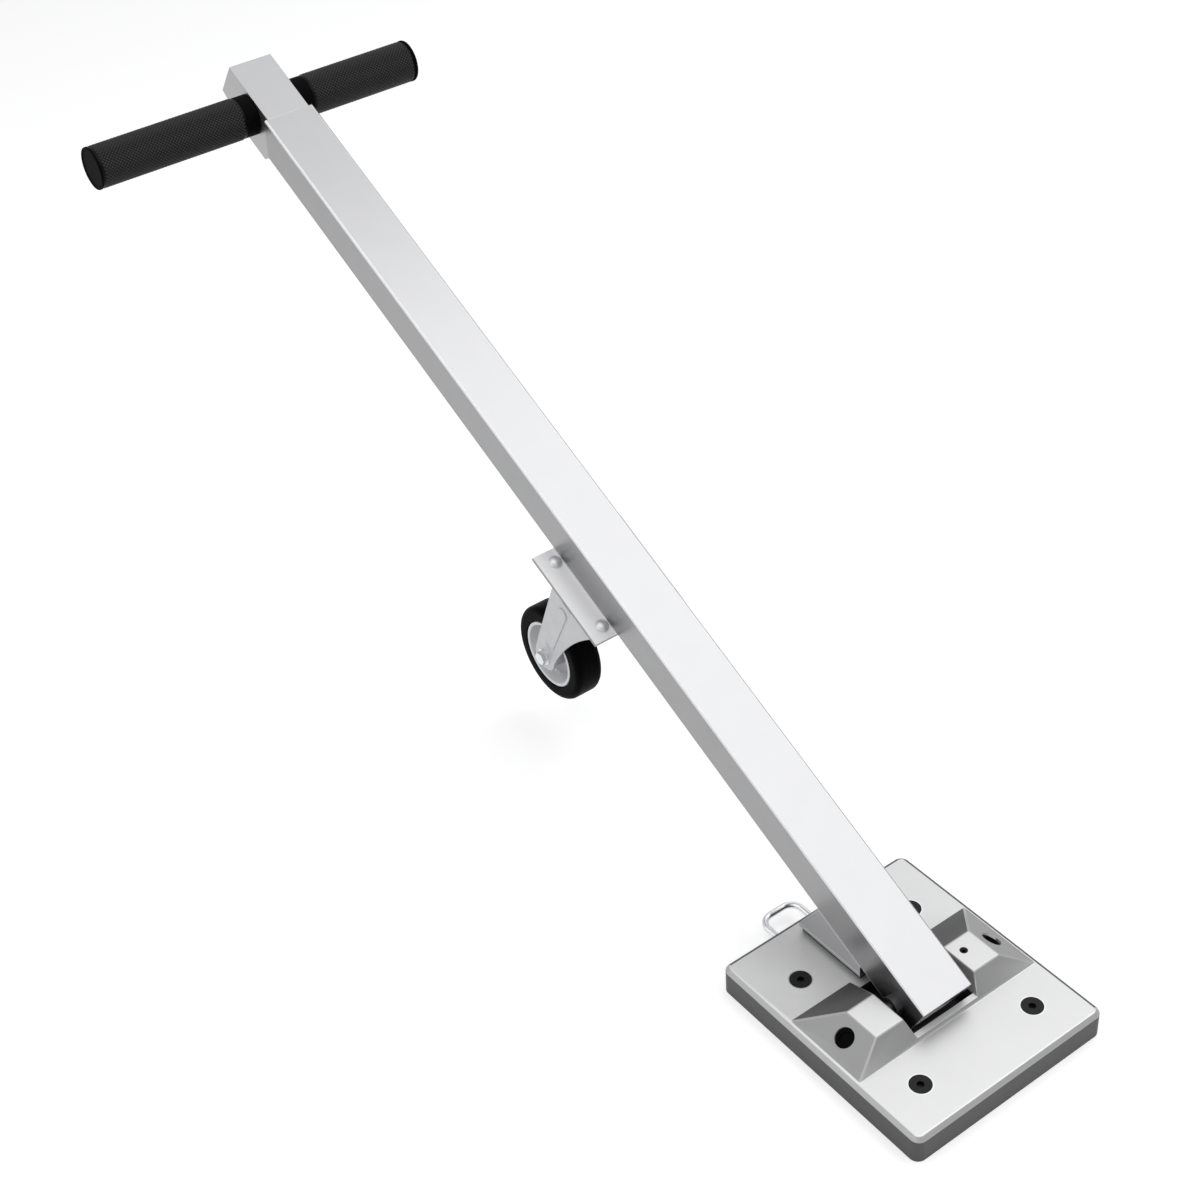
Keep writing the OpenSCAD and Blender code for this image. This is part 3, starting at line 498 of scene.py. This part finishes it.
def joined(parts):
    whole = bmesh.new()
    for part in parts:
        spare = bpy.data.meshes.new("spare")
        part.to_mesh(spare)
        part.free()
        whole.from_mesh(spare)
        bpy.data.meshes.remove(spare)
    return whole


# %% Bright rims of the four countersinks
SCREW_PLACES = [(x, y) for x in (-52.5, 52.5) for y in (-65.3, 54.0)]
COUNTERSINK_SECTION = [(-0.5, 8.12), (0.05, 8.12), (0.05, 8.8), (-0.5, 8.8)]
UPRIGHT = Matrix.Rotation(-math.pi / 2, 4, "Y")


def countersink_rim(x, y):
    on_plate = Matrix.Translation((x * MM, y * MM, BASE_TOP * MM))
    return placed(turned(COUNTERSINK_SECTION, steps=64, closed=True), on_plate @ UPRIGHT)


rims = joined(countersink_rim(x, y) for x, y in SCREW_PLACES)
print("rim faces:", len(rims.faces))
show(rims, "countersink_rims", "base", [bright_zinc])

# %% [markdown]
# ## Lever, heel and head
# The lever is a drawn tube, the heel is folded and welded plate and the head is a milled block.
# Their outlines are already right, so only their edges are broken and each gets its own finish. The tube's front and
# back are polished, and its sides keep the greyer drawn skin.
# A bright line is painted along the tube's ends and its left corners as a highlight. Only the bevel's bands are that
# narrow, so a face's width, its area over its longest side, tells them from the rest. The caster's plate was sheared,
# so its sides are duller.

# %% Lever pieces
BAND_SHARE = 0.6
FACING_SIDE = 0.9
FACING_RIGHT = 0.1


def width_of(face):
    return face.calc_area() / max(edge.calc_length() for edge in face.edges)


def with_painted_highlight_edges(node, width, front, sides):
    bm = merged_copy(node)
    print(node, "edges softened:", soften(bm, width, 2, long_edge))
    bm.normal_update()
    for face in bm.faces:
        face.material_index = 2 if abs(face.normal.x) > FACING_SIDE else 0
        # Bevel bands that do not face right get the pale material: a painted highlight.
        if width_of(face) < BAND_SHARE * width * MM and face.normal.x < FACING_RIGHT:
            face.material_index = 1
    print(node, "worn bands:", sum(face.material_index == 1 for face in bm.faces))
    stand_for(node, bm, "painted_edges", [front, wear_and_painted_highlight, sides])


with_painted_highlight_edges("lever_tube", 0.5, polished_tube, drawn_sides)
with_painted_highlight_edges("heel_cheeks", 0.4, polished_tube, polished_tube)
softened("lever_head", 0.7, satin_head, segments=3)
softened("heel_sole", 0.5, polished_tube)

# %% The caster's plate and its sheared sides
INTO_LEVER = LEVER.inverted()
FACING_OUT = 0.75
bm = merged_copy("caster_mount_plate")
print("plate edges softened:", soften(bm, width=0.3, segments=3, picks=long_edge))
bm.normal_update()
for face in bm.faces:
    face.material_index = 1 if abs((INTO_LEVER.to_3x3() @ face.normal).z) < FACING_OUT else 0
stand_for("caster_mount_plate", bm, "sheared", [white_zinc, sheared_edge])

# %% [markdown]
# ## Knurled grips
# Each grip is a black sleeve with a pressed diamond pattern. The pattern could be a bump in the material, but the
# outline and the mesh would stay smooth. So the sleeve's skin is spun as a fine grid and every second vertex, in a
# chequered order, is lifted. Each square then has two crests and two groove points. Left alone, Blender would fold all
# squares the same way, which looks like a thread. Joining the groove points folds each one so that four flat faces
# rise to every crest, and that is a diamond.
# Each lifted vertex is also marked, and the rubber's colour reads that mark: the crests are painted paler as a
# highlight.

# %% Rubber painted paler on its crests as a highlight
CREST_HIGHLIGHT_COLOUR = (0.065, 0.065, 0.065, 1)
rubber = grip_rubber.node_tree
base_colour = rubber.nodes["Principled BSDF"].inputs["Base Color"]
groove_colour = base_colour.links[0].from_socket
crest_mark = rubber.nodes.new("ShaderNodeAttribute")
crest_mark.attribute_name = "crest"
# Mixes the groove colour with the paler crest colour, a painted highlight.
crest_highlight_mix = rubber.nodes.new("ShaderNodeMix")
crest_highlight_mix.data_type = "RGBA"
crest_highlight_mix.inputs["B"].default_value = CREST_HIGHLIGHT_COLOUR
rubber.links.new(crest_mark.outputs["Fac"], crest_highlight_mix.inputs["Factor"])
rubber.links.new(groove_colour, crest_highlight_mix.inputs["A"])
rubber.links.new(crest_highlight_mix.outputs["Result"], base_colour)
print("rubber nodes:", len(rubber.nodes))

# %% Spin a sleeve and lift a chequered set of its vertices
GRIP_R, GRIP_BORE = 17.3, 10.2
DIAMOND, DIAMOND_LIFT = 1.5, 0.6
END_DROP, SKIN_DEPTH = 0.9, 0.8


def knurled_sleeve(start, end):
    rings = round(abs(end - start) / DIAMOND)
    steps = 2 * round(math.pi * GRIP_R / DIAMOND)
    skin = [(start + (end - start) * i / rings, GRIP_R - DIAMOND_LIFT) for i in range(1, rings)]
    section = [(start, GRIP_BORE), (start, GRIP_R - END_DROP)] + skin + [(end, GRIP_R - END_DROP), (end, GRIP_BORE)]
    bm = turned(section, steps, closed=True)
    crest = bm.verts.layers.float.new("crest")
    for vert in bm.verts:
        ring = round((vert.co.x / MM - start) / (end - start) * rings)
        radius = math.hypot(vert.co.y, vert.co.z)
        step = round(math.atan2(vert.co.z, vert.co.y) / math.tau * steps)
        if radius > (GRIP_R - SKIN_DEPTH) * MM and 1 < ring < rings - 1 and (ring + step) % 2:
            vert.co.y *= GRIP_R * MM / radius
            vert.co.z *= GRIP_R * MM / radius
            # The mark also paints the crest paler as a highlight.
            vert[crest] = 1
    grooves = [v for v in bm.verts if not v[crest] and any(e.other_vert(v)[crest] for e in v.link_edges)]
    bmesh.ops.connect_verts(bm, verts=grooves)
    print("sleeve rings:", rings, "steps:", steps, "faces:", len(bm.faces))
    return placed(bm, HANDLE)


# %% Both grips
GRIP_START = 31.5
LEFT_END, RIGHT_END = -159.7, 129.8
KNURL_SMOOTH = 5
stand_for("left_grip", knurled_sleeve(-GRIP_START, LEFT_END), "knurled", [grip_rubber], KNURL_SMOOTH)
stand_for("right_grip", knurled_sleeve(GRIP_START, RIGHT_END), "knurled", [grip_rubber], KNURL_SMOOTH)

# %% [markdown]
# ## Collars and end plugs
# A smooth collar closes each grip towards the head, and a moulded plug closes its outer end with a shallow dish
# inside a thin rim. Both are turned, with their edges drawn round in the section.

# %% Collars and plugs
COLLAR_IN, COLLAR_OUT, COLLAR_R = 19.4, 31.3, 16.7
PLUG_THICKNESS = 2


def collar(side):
    inner, outer = COLLAR_IN * side, COLLAR_OUT * side
    return turned([(inner, GRIP_BORE), (inner, COLLAR_R - 0.8), (inner + 0.8 * side, COLLAR_R),
                   (outer - 0.5 * side, COLLAR_R), (outer, COLLAR_R - 0.5), (outer, GRIP_BORE)], closed=True)


def end_plug(end, side):
    face = end + PLUG_THICKNESS * side
    shank = [(end - 16 * side, 0), (end - 16 * side, 6.6), (end - 15.2 * side, 7.4), (end, 7.4)]
    edge = [(end, GRIP_R), (face - 0.5 * side, GRIP_R), (face - 0.15 * side, GRIP_R - 0.15), (face, GRIP_R - 0.5)]
    dish = [(face, GRIP_R - 1.3), (face - 0.7 * side, GRIP_R - 1.9), (face - 0.7 * side, 0)]
    return turned(shank + edge + dish)


collars = joined([collar(-1), collar(1)])
plugs = joined([end_plug(LEFT_END, -1), end_plug(RIGHT_END, 1)])
print("collar faces:", len(collars.faces), "plug faces:", len(plugs.faces))
stand_for("grip_collars", placed(collars, HANDLE), "turned", [cap_plastic])
stand_for("grip_end_plugs", placed(plugs, HANDLE), "moulded", [cap_plastic])

# %% [markdown]
# ## Wheel
# The tyre is a black rubber ring with round shoulders, moulded on a rim with a pale lip on each side, a duller dished
# web and a hub. Two sections, spun about the axle, give both, and the lip's faces get a material of their own.

# %% Tyre
def rounded(centre, radius, start, end, steps=6):
    """Points of an arc in the half section, between two angles in degrees."""
    angles = [math.radians(start + (end - start) * i / steps) for i in range(steps + 1)]
    return [(centre[0] + radius * math.cos(a), centre[1] + radius * math.sin(a)) for a in angles]


TYRE_SECTION = ([(-10, 28.5), (-12.1, 29.1), (-12.5, 30.5)] + rounded((-7.5, 36), 5, 180, 90)
                + rounded((7.5, 36), 5, 90, 0) + [(12.5, 30.5), (12.1, 29.1), (10, 28.5)])
tyre = turned(TYRE_SECTION, steps=128, closed=True)
print("tyre faces:", len(tyre.faces))
stand_for("tyre", placed(tyre, AXLE), "moulded", [tyre_rubber], smooth=35)

# %% Rim
RIM_HALF = [(10, 28.5), (11.9, 28.4), (12.2, 28), (12.2, 26.4), (11.7, 25.8), (4.5, 24.9), (2.6, 23.4), (2, 20.8),
            (2, 13.5), (2.6, 11.8), (4, 11), (11.5, 11), (12, 10.5), (12, 7.05)]
LIP_R = 25.0
rim = turned(RIM_HALF + [(-x, r) for x, r in reversed(RIM_HALF)], closed=True)
for face in rim.faces:
    place = face.calc_center_median()
    face.material_index = 0 if math.hypot(place.y, place.z) > LIP_R * MM else 1
print("rim faces:", len(rim.faces))
stand_for("wheel_rim", placed(rim, AXLE), "moulded", [rim_plastic, rim_dish])

# %% [markdown]
# ## Caster fork
# The fork is folded from zinc plated sheet: a flat crown, two legs that curve in to the axle, and a slot and a rib in
# each. A pressed rib has no walls, so its top is inset and its rim is sunk almost to the leg, which leaves soft slopes.
# The fork's rims are softened wherever the sheet ends, the short edges of the curves too, but not the bores.

# %% Bracket and fork
softened("caster_bracket", 0.5, blue_zinc)
softened("caster_top_plate", 0.4, blue_zinc)
LEG_IN, LEG_OUT = 12.6, 15.75
CROWN_MIDDLE, CROWN_HALF = 401, 20
BOLT_CLEAR = 4
RIB_OUT, RIB_SLOPE, RIB_SINK = 16.5, 2.6, 0.7


def on_sheet_end(edge):
    place = INTO_LEVER @ middle(edge)
    in_leg = LEG_IN * MM < abs(place.x) < LEG_OUT * MM
    past_crown = abs(place.y - CROWN_MIDDLE * MM) > CROWN_HALF * MM
    return (in_leg or past_crown) and (place - AXLE_IN_LEVER).yz.length > BOLT_CLEAR * MM


bm = merged_copy("caster_fork")
rib_tops = [face for face in bm.faces if all(near(abs(vert.co.x), RIB_OUT) for vert in face.verts)]
rib_rims = {vert for face in rib_tops for vert in face.verts}
bmesh.ops.inset_region(bm, faces=rib_tops, thickness=RIB_SLOPE * MM, depth=0, use_even_offset=True, use_boundary=True)
for vert in rib_rims:
    vert.co.x -= math.copysign(RIB_SINK * MM, vert.co.x)
print("rib tops:", len(rib_tops), "sheet edges:", soften(bm, width=0.3, segments=2, picks=on_sheet_end))
stand_for("caster_fork", bm, "folded", [blue_zinc])

# %% [markdown]
# ## Finishes of the solids that stay
# The small turned and ground pieces are right as solids: CAD gave them smooth normals. Each gets its own finish.

# %% Finish the remaining solids
KEPT = {
    # The pin and sleeve in the hinge slot are painted near black as shade.
    painted_shade_steel: ["pivot_pin", "pivot_sleeve"],
    dull_zinc: ["caster_bolts"],
    bright_zinc: ["tether_loop", "crossbar", "caster_nuts", "kingpin", "kingpin_nut",
                  "swivel_balls", "axle_bolt", "axle_nut", "axle_sleeve"],
    plain_steel: ["front_yoke", "rear_yoke", "front_cover_sheet", "rear_cover_sheet"],
    nickel: ["front_magnets", "rear_magnets"],
    sintered_bronze: ["pivot_bushes"],
    black_oxide: ["magnet_screws", "pin_set_screw"],
    cap_plastic: ["pin_caps"],
    pad_rubber: ["heel_pad"],
    blue_zinc: ["upper_race"],
    bush_nylon: ["wheel_bush"],
}
for material, names in KEPT.items():
    for name in names:
        solids[name].data.materials.clear()
        solids[name].data.materials.append(material)
print("solids finished:", sum(len(names) for names in KEPT.values()))
